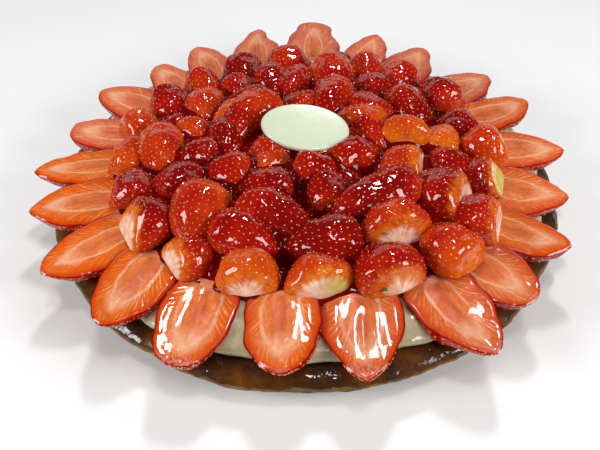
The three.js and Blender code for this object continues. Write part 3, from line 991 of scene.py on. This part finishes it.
def custard():
    """The custard, with a piped edge that bulges over the shell's rim."""
    crest = SHELL_CREST_HEIGHT
    corners = [
        (SHELL_CAP, SHELL_FLOOR + 1.5),
        (SHELL_WALL - 0.6, SHELL_FLOOR + 1.5),
        (SHELL_WALL + 0.6, crest - 3.0),
        (SHELL_WALL + 2.2, crest - 0.2),
        (CUSTARD_EDGE - 1.0, crest + 0.5),
        (CUSTARD_EDGE, crest + 2.2),
        (CUSTARD_EDGE - 1.2, crest + 4.6),
        (CUSTARD_EDGE - 5.0, CUSTARD_TOP - 1.0),
        (CUSTARD_EDGE - 13.0, CUSTARD_TOP),
        (SHELL_CAP, CUSTARD_TOP),
    ]
    grid = turned(smooth_profile(corners, CUSTARD_SPACING), CUSTARD_TURNS)
    radius = np.hypot(grid[..., 0], grid[..., 1])
    angle = np.arctan2(grid[..., 1], grid[..., 0])
    share = smoothstep(CUSTARD_EDGE - 12.0, CUSTARD_EDGE, radius)
    share = share * smoothstep(crest, crest + 1.0, grid[..., 2])
    lobe = CUSTARD_PIPING * (np.sin(26 * angle) + 0.8 * np.sin(11 * angle)) * share
    scale = 1.0 + lobe / radius
    grid = hand_rolled(grid * np.stack([scale, scale, np.ones_like(scale)], axis=-1))
    shown = smoothstep(crest, crest + 2.0, grid[..., 2]) * smoothstep(90.0, 105.0, radius)
    lumps = waves(grid, 17.0, 21) * 0.35 + waves(grid, 7.0, 22) * 0.16
    grid[..., 2] += (lumps + 0.3) * shown
    build = Build()
    closed_turned(build, grid)
    build.object("custard_filling", [custard_material()], ["custard"])


# ---- the ring of cut halves


def drooped(points, length, bare_tip):
    """Points with the tip's bare share bent down, where the cut missed it."""
    past = np.maximum(points[..., 0] / length - (1.0 - 1.4 * bare_tip), 0.0)
    points[..., 2] -= TIP_DROOP * bare_tip * (past / (1.4 * bare_tip)) ** 2
    return points


def cut_face(place, radius, rim, length, bow, bare_tip, crown, uneven, seed):
    """The cut face of a half, as a (side, station, ring, 3) grid from its two rims in to the core."""
    core = 0.14 * length + 0.66 * place
    slit = smoothstep(0.12, 0.4, place / length) * smoothstep(1.0, 0.75, place / length)
    opening = np.minimum(0.1 + 0.35 * slit, 0.4 * radius)
    inner = np.stack([np.stack([core, opening * side, 0 * place], -1) for side in (1, -1)])
    inner = bowed(inner, length, bow)
    depth = FACE_DEPTHS[:, None]
    grid = rim[:, :, None, :] * (1.0 - depth) + inner[:, :, None, :] * depth
    level = FACE_DEPTHS
    rounded = rim[:, :, None, 2] * (1.0 - smoothstep(0.0, 0.11, level))
    ring = 0.22 * bell(level, 0.2, 0.16) - 0.8 * uneven * smoothstep(0.7, 1.0, level)
    sunk = -2.0 * uneven * smoothstep(0.9, 1.0, level) * slit[:, None]
    fibrous = waves(grid * FIBRE_STRETCH, 9.0, seed) * uneven + waves(grid, 6.0, seed + 1) * 0.012
    crowned = crown * (1.0 - (1.0 - level) ** 2)
    grid[..., 2] = rounded + ring + sunk + (fibrous + crowned) * smoothstep(0.0, 0.12, level)
    return drooped(grid, length, bare_tip)


def tip_places(face, length, bare_tip, seed):
    """Points on the face's bare tip, well apart, for its seeds."""
    rng = np.random.default_rng(seed)
    points = face.reshape(-1, 3)
    points = points[points[:, 0] > (1.0 - bare_tip) * length]
    kept = []
    for point in points[rng.permutation(len(points))]:
        if all(np.linalg.norm(point - other) > TIP_SEED_SPACING for other in kept):
            kept.append(point)
    return np.array(kept).reshape(-1, 3)


def ring_half(row, look, index):
    """Makes one half of the ring, cut face up, and returns the points of its face."""
    bearing, tip_radius, swing, length, width, bluntness, lift, roll, bow, pinch = row
    tone, shade, core_width, bare_tip, crown, uneven = (look + PLAIN_CUT)[:6]
    seed = 1000 + 10 * index
    profile = length, width, bluntness, SLICE_STATIONS, HULL_CUT, -SLICE_HOLLOW, pinch
    place, radius = berry_profile(*profile)
    flatness = SLICE_DEPTH / (width / 2.0)
    skin = half_shell(place, radius, flatness, SLICE_SIDES, seed, SLICE_SQUARENESS)
    skin[..., 2] = -np.abs(skin[..., 2]) - RIM_ROUNDING
    skin = drooped(bowed(skin, length, bow), length, bare_tip)
    rows, columns = seed_places(skin, radius, 6.0, seed + 3)
    rows, columns = rim_seeds(skin, rows, columns, seed + 4)
    skin, at, normal, along = dimpled(skin, rows, columns)
    rim = skin[:, [0, -1]].swapaxes(0, 1)
    level_rim = rim.copy()
    level_rim[..., 2] -= drooped(rim * np.array([1.0, 1.0, 0.0]), length, bare_tip)[..., 2]
    face = cut_face(place, radius, level_rim, length, bow, bare_tip, crown, uneven, seed + 5)
    face[:, :, 0] = rim

    turn = rotation(bearing + swing, -math.degrees(math.asin(lift / length)), roll)
    angle = math.radians(bearing)
    tip = np.array([tip_radius * math.cos(angle), tip_radius * math.sin(angle), SLICE_HEIGHT + lift])
    laid = laying(length, turn, tip)
    arc = arc_length(place, radius)
    build = Build("depth", "around", "along", "across", "sideways", "tone", "shade", "tip", "pale")
    sides = SLICE_SIDES + 1
    build.add(
        laid(skin.reshape(-1, 3)),
        grid_faces(SLICE_STATIONS, sides, flip=True),
        slot=1,
        tone=0.25,
        pale=np.repeat(0.8 * smoothstep(5.0, 0.0, place), sides),
        around=np.tile(np.linspace(0.0, 20.0, sides), SLICE_STATIONS),
        along=np.repeat(arc / 12.0, sides),
    )
    rings = len(FACE_DEPTHS)
    slit = []
    for side, half in enumerate(face):
        share = half[..., 0].ravel() / length
        first = build.add(
            laid(half.reshape(-1, 3)),
            grid_faces(SLICE_STATIONS, rings, flip=side == 1),
            depth=np.tile(FACE_DEPTHS, SLICE_STATIONS),
            around=np.repeat(arc + 90.0 * side + 200.0 * index, rings),
            along=share,
            across=half[..., 1].ravel() + 40.0 * index,
            sideways=np.tile((1.0 - FACE_DEPTHS) / core_width, SLICE_STATIONS),
            tone=tone,
            # How much painted shade darkens this half's flesh.
            shade=shade,
            tip=(share - 1.0) / bare_tip + 1.0,
        )
        slit.append(first + np.arange(SLICE_STATIONS) * rings + rings - 1)
    left, right = slit
    build.join(np.stack([left[:-1], right[:-1], right[1:], left[1:]], 1))
    at = np.concatenate([at, tip_places(face, length, bare_tip, seed + 8)])
    extra = len(at) - len(normal)
    normal = np.concatenate([normal, np.tile([0.4, 0.0, 0.9], (extra, 1))])
    along = np.concatenate([along, np.tile([0.9, 0.0, -0.4], (extra, 1))])
    add_seeds(build, 2, laid(at), normal @ turn.T, along @ turn.T, seed + 7)
    number = f"{index + 1:02d}"
    build.object("strawberry_half_" + number, SLICE_MATERIALS, ["slice_" + number])
    return laid(face.reshape(-1, 3))


# ---- the heap


PLAQUE_AXES = np.array(about("X", PLAQUE_LEAN) @ about("Z", PLAQUE_TURN))


def plaque_frame(points):
    """Points in the plaque's own frame, and which of them lie within its outline."""
    local = (points - PLAQUE_CENTRE) @ PLAQUE_AXES
    half_length = PLAQUE_LENGTH / 2.0 + PLAQUE_CLEARANCE
    half_width = PLAQUE_WIDTH / 2.0 + PLAQUE_CLEARANCE
    return local, (local[..., 0] / half_length) ** 2 + (local[..., 1] / half_width) ** 2 < 1.0


def under_plaque(points):
    """Points pressed down until they clear the plaque's underside."""
    local, within = plaque_frame(points)
    underside = -PLAQUE_THICKNESS / 2.0 - PLAQUE_CLEARANCE
    local[..., 2] = np.where(within, np.minimum(local[..., 2], underside), local[..., 2])
    return local @ PLAQUE_AXES.T + PLAQUE_CENTRE


def hull_paleness(hull, flat, width, rim, reach, arc):
    """How pale the skin is, by the distance from the middle of the hull end."""
    paleness = abs(hull)
    fade = 3.0 if paleness < 1.0 else 12.0
    pale_end = (1.0 - flat) * 0.6 * width + flat * (rim - 1.0 + fade * 0.75) + reach
    pale_start = (1.0 - flat) * 0.05 * width + flat * (rim - 1.0 - fade * 0.25) + reach
    pale = (paleness + 0.1) * smoothstep(pale_end, pale_start, arc)
    return np.maximum(pale, 0.35 * paleness * smoothstep(rim + 11.0, rim + 2.0, arc))


def heap_half(build, row, index):
    """Adds one half of the heap, cut face down, and returns its skin as a grid."""
    x, y, raised, heading, length, width, tone, hull, cut, bow = (row + PLAIN_HULL)[:10]
    seed = 3000 + 10 * index
    bluntness = 0.5 + 0.35 * math.sin(7 * index)
    flat = smoothstep(0.45, 0.6, cut)
    bulge = HULL_BULGE * (1.0 - 1.6 * flat)
    place, radius = berry_profile(length, width, bluntness, BERRY_STATIONS, cut, bulge)
    grid = half_shell(place, radius, 1.0, BERRY_SIDES, seed)
    near_hull = smoothstep(0.6, 0.0, grid[..., 0] / length)
    grid[..., 0] += flat * HULL_SLANT * (1.0 - cut) * grid[..., 2] * near_hull
    grid = bowed(grid, length, bow)
    arc = arc_length(place, radius)
    rim = cut * width / 2.0
    reach = 3.5 if hull < 0.0 else 0.0
    seedless = rim + 1.5 if flat > 0.5 else 0.3 * width + 2.0 * abs(hull) + reach
    rows, columns = seed_places(grid, radius, seedless / arc[1], seed + 3)
    grid, at, normal, along = dimpled(grid, rows, columns)
    turn = rotation(heading, HEAP_DIP * math.cos(4 * index), HEAP_LEAN * math.sin(3 * index + 1))
    laid = laying(length / 2.0, turn, np.array([x, y, HEAP_BASE + raised]))

    sides = BERRY_SIDES + 1
    share = np.clip(grid[..., 0] / length, 0.0, 1.0)
    ripening = RIPER_TIP * (0.5 - share) + RIPER_TOP * (0.5 - grid[..., 2] / (width / 2.0))
    points = under_plaque(laid(grid.reshape(-1, 3)))
    to_the_right = smoothstep(-0.1, 0.7, (points[:, 0] - x) / (width / 2.0))
    first = build.add(
        points,
        grid_faces(BERRY_STATIONS, sides),
        tone=tone + ripening.ravel(),
        pale=np.repeat(hull_paleness(hull, flat, width, rim, reach, arc), sides),
        unripe=to_the_right if hull < 0.0 else 0.0,
        around=np.tile(np.linspace(0.0, 16.0, sides), BERRY_STATIONS) + 31.0 * index,
        along=np.repeat(arc / 14.0, sides),
    )
    near = first + np.arange(BERRY_STATIONS) * sides
    far = near + sides - 1
    build.join(np.stack([near[:-1], near[1:], far[1:], far[:-1]], 1))
    at = laid(at)
    clear = ~plaque_frame(at)[1]
    add_seeds(build, 1, at[clear], normal[clear] @ turn.T, along[clear] @ turn.T, seed + 7)
    return points.reshape(BERRY_STATIONS, sides, 3)


def berries(name, rows, first_index, node_names):
    """Makes one piece of the heap from its rows, and returns its halves as grids."""
    build = Build("tone", "pale", "unripe", "around", "along")
    grids = [heap_half(build, row, first_index + i) for i, row in enumerate(rows)]
    build.object(name, [SKIN, SEED], node_names)
    return grids


def leaves():
    """The scraps of green hull left on two berries, as thin curled blades."""
    build = Build()
    rows, columns = 9, 7
    share = np.linspace(0.0, 1.0, rows)[:, None]
    side = np.linspace(-1.0, 1.0, columns)[None, :]
    breadth = np.sqrt(np.clip(1.0 - (2.0 * share - 1.0) ** 2, 0.0, 1.0))
    half = 0.25 * (1.0 - side**2) * breadth
    for x, y, z, bearing, length, width in LEAVES:
        across = side * width / 2.0 * breadth
        along = (share - 0.5) * length + 0.0 * side
        curl = 1.2 * share**2 * length / 5.0 - 0.3 * (side * breadth) ** 2
        for up in (1.0, -1.0):
            blade = np.stack([along, across, curl + up * half], axis=-1)
            placed = blade.reshape(-1, 3) @ rotation(bearing).T + np.array([x, y, z])
            build.add(placed, grid_faces(rows, columns, flip=up > 0.0))
    build.object("green_hull_scraps", [leaf_material()], [])


def height_map(grids, flat_points):
    """The highest point of the berries, the cut faces and the core over each cell of a square map."""
    cells = int(2 * JELLY_REACH / JELLY_PITCH) + 1
    axis = (np.arange(cells) * JELLY_PITCH) - JELLY_REACH
    x, y = np.meshgrid(axis, axis)
    radius = np.hypot(x, y)
    core = HEAP_BASE + HEAP_CORE_HEIGHT * np.interp(radius, CORE_RADII, CORE_SHARES)
    core = np.maximum(core - JELLY_BELOW_CORE, CUSTARD_TOP)
    heights = np.where(radius < HEAP_CORE, core, CUSTARD_TOP)
    clouds = list(flat_points)
    for grid in grids:
        rows, columns = [np.linspace(0.0, size - 1.001, size * 2) for size in grid.shape[:2]]
        r, c = np.meshgrid(rows, columns, indexing="ij")
        clouds.append(sample(grid, r.ravel(), c.ravel()))
    for points in clouds:
        column, row = np.rint((points[:, :2] + JELLY_REACH) / JELLY_PITCH).astype(int).T
        inside = (column >= 0) & (column < cells) & (row >= 0) & (row < cells)
        np.maximum.at(heights, (row[inside], column[inside]), points[inside, 2])
    return heights, x, y, radius


def raised(heights, ball):
    """The highest that a ball's top can stand over each cell, with its top on some height."""
    reach = int(ball / JELLY_PITCH)
    padded = np.pad(heights, reach, mode="edge")
    size = heights.shape[0]
    highest = np.full(heights.shape, -np.inf)
    for i in range(-reach, reach + 1):
        for j in range(-reach, reach + 1):
            flat = (i * i + j * j) * JELLY_PITCH**2
            if flat < ball * ball:
                drop = math.sqrt(ball * ball - flat) - ball
                near = padded[reach + i : reach + i + size, reach + j : reach + j + size]
                highest = np.maximum(highest, near + drop)
    return highest


def jelly(grids, faces):
    """The core of the heap and the jelly pooled on it, as one closed solid under a smooth top."""
    heights, x, y, radius = height_map(grids, faces)
    # A ball rolled over the berries can't reach below this: it closes the narrow gaps.
    closed = -raised(-raised(heights, JELLY_BALL), JELLY_BALL)
    most = HEAP_BASE + np.interp(radius, JELLY_RADII, JELLY_HEIGHTS)
    least = HEAP_BASE + 1.2 * smoothstep(JELLY_REACH - 3.0, JELLY_REACH - 9.0, radius) - 1.0
    top = np.clip(closed - JELLY_SUNK, least, most)
    top = under_plaque(np.stack([x, y, top], axis=-1))[..., 2]
    for _ in range(JELLY_SOFTENING):
        soft = np.pad(top, 1, mode="edge")
        beside = soft[:-2, 1:-1] + soft[2:, 1:-1] + soft[1:-1, :-2] + soft[1:-1, 2:]
        top = (beside + 4.0 * top) / 8.0
    inside = radius < JELLY_REACH - 2.0
    number = np.full(top.shape, -1)
    number[inside] = np.arange(inside.sum())
    points = np.stack([x[inside], y[inside], top[inside]], 1)
    corner = number[:-1, :-1], number[:-1, 1:], number[1:, 1:], number[1:, :-1]
    quads = np.stack([c.ravel() for c in corner], 1)
    quads = quads[(quads >= 0).all(axis=1)]
    edges = np.concatenate([quads[:, [k, (k + 1) % 4]] for k in range(4)])
    known = {tuple(edge) for edge in edges.tolist()}
    border = [edge for edge in known if (edge[1], edge[0]) not in known]
    after = dict(border)
    loop = [border[0][0]]
    while after[loop[-1]] != loop[0]:
        loop.append(after[loop[-1]])
    loop = np.array(loop)
    build = Build()
    build.add(points, quads)
    under = np.column_stack([points[loop, :2], np.full(len(loop), JELLY_FLOOR)])
    under = build.add(under, [np.arange(len(loop))[::-1]]) + np.arange(len(loop))
    build.join(np.stack([np.roll(loop, -1), loop, under, np.roll(under, -1)], 1))
    build.object("jelly_between_berries", [jelly_material()], [])


def plaque():
    """An oval plaque with a rounded edge, very slightly crowned."""
    half = PLAQUE_THICKNESS / 2.0
    edge = []
    for angle in np.linspace(math.pi / 2.0, 0.0, 10):
        share = 1.0 - PLAQUE_ROUNDING / 15.0 * (1.0 - math.cos(angle))
        edge.append((share, half - PLAQUE_ROUNDING + PLAQUE_ROUNDING * math.sin(angle)))
    lower = [(share, -height) for share, height in reversed(edge)]
    outline = np.array([(0.6, half + PLAQUE_CROWN), *edge, *lower, (0.6, -half)])
    grid = turned(outline, PLAQUE_TURNS) * [PLAQUE_LENGTH / 2.0, PLAQUE_WIDTH / 2.0, 1.0]
    build = Build()
    closed_turned(build, grid @ PLAQUE_AXES.T + PLAQUE_CENTRE)
    build.object("chocolate_plaque", [chocolate_material()], ["plaque"])


# ---- the stage


def floor():
    """A wide pale floor just under the tart."""
    mesh = bpy.data.meshes.new("floor")
    corners = [(-1, -1), (1, -1), (1, 1), (-1, 1)]
    mesh.from_pydata([(x * FLOOR_SIZE, y * FLOOR_SIZE, 0.0) for x, y in corners], [], [(0, 1, 2, 3)])
    mesh.materials.append(Shader("pale_floor", Roughness=0.6, Base_Color=FLOOR_COLOUR).material)
    piece = new_object("floor", mesh)
    piece.location.z = -FLOOR_DROP


def softbox(name, azimuth, elevation, distance, width, height, power):
    """An area light aimed at the tart."""
    light = bpy.data.lights.new(name, "AREA")
    light.shape = "RECTANGLE"
    light.size = width
    light.size_y = height
    light.energy = power
    lamp = new_object(name, light)
    a, e = math.radians(azimuth), math.radians(elevation)
    away = Vector((math.sin(a) * math.cos(e), math.cos(a) * math.cos(e), math.sin(e)))
    lamp.location = away * distance
    lamp.rotation_mode = "QUATERNION"
    lamp.rotation_quaternion = away.to_track_quat("Z", "Y")


def lights():
    """The soft boxes and an even white world."""
    for row in SOFTBOXES:
        softbox(*row)
    world = bpy.data.worlds.new("studio")
    world.use_nodes = True
    background = world.node_tree.nodes["Background"]
    background.inputs["Color"].default_value = (1.0, 1.0, 1.0, 1.0)
    background.inputs["Strength"].default_value = WORLD_STRENGTH
    bpy.context.scene.world = world


def camera():
    """The camera, in front of the tart and above it."""
    data = bpy.data.cameras.new("camera")
    data.sensor_width = CAMERA_SENSOR
    data.sensor_fit = "HORIZONTAL"
    data.lens = CAMERA_LENS
    data.clip_start = 0.01
    view = new_object("camera", data)
    aim = about("Z", CAMERA_TURN, 4) @ about("X", 90.0 - CAMERA_DOWN, 4) @ about("Z", CAMERA_ROLL, 4)
    view.matrix_world = Matrix.Translation(CAMERA_PLACE) @ aim
    bpy.context.scene.camera = view


# ---- the scene

SKIN = skin_material()
SEED = seed_material()
SLICE_MATERIALS = [flesh_material(), SKIN, SEED]

shell()
custard()
cut_faces = [ring_half(row, look, index) for index, (row, look) in enumerate(zip(RING, RING_LOOKS))]
outer = berries("heap_berries_outer", OUTER_BERRIES, 0, ["berry_heap"])
middle = berries("heap_berries_middle", MIDDLE_BERRIES, len(outer), [])
centre = berries("heap_berries_centre", CENTRE_BERRIES, len(outer) + len(middle), [])
jelly(outer + middle + centre, cut_faces)
leaves()
plaque()
floor()
lights()
camera()

bpy.context.scene.view_settings.view_transform = "Standard"
